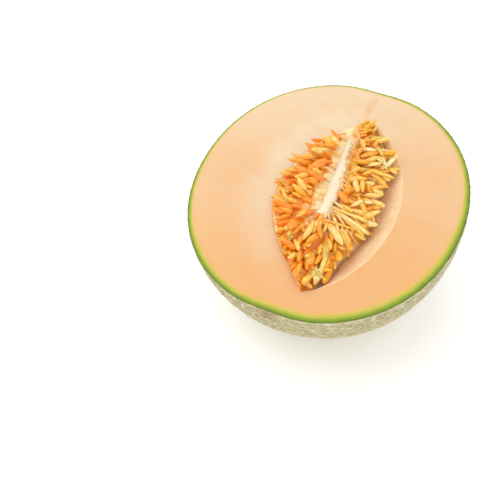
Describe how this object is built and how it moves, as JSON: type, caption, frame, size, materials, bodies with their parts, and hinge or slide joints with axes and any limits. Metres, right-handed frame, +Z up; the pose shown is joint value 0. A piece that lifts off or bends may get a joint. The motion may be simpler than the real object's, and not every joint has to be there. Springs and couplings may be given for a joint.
{
  "type": "muskmelon half",
  "caption": "Half a netted muskmelon cut from stem end to blossom end, with orange flesh, a seed-filled cavity and a small flat spot to rest on.",
  "frame": {"origin": "centre of the flat resting spot on the underside of the rind", "axes": "+Z up, +X across the cut face to the right, +Y level and away from the front, towards the raised stem end; the cut face leans 13 degrees towards -Y"},
  "size_m": [0.1499, 0.1541, 0.0861],
  "materials": {
    "rind": "matte",
    "flesh": "satin",
    "placenta": "satin",
    "seeds": "gloss"
  },
  "bodies": {
    "root": {"rind": "rind", "flesh": "flesh", "placenta": "placenta", "seeds": "seeds"}
  },
  "joints": []
}
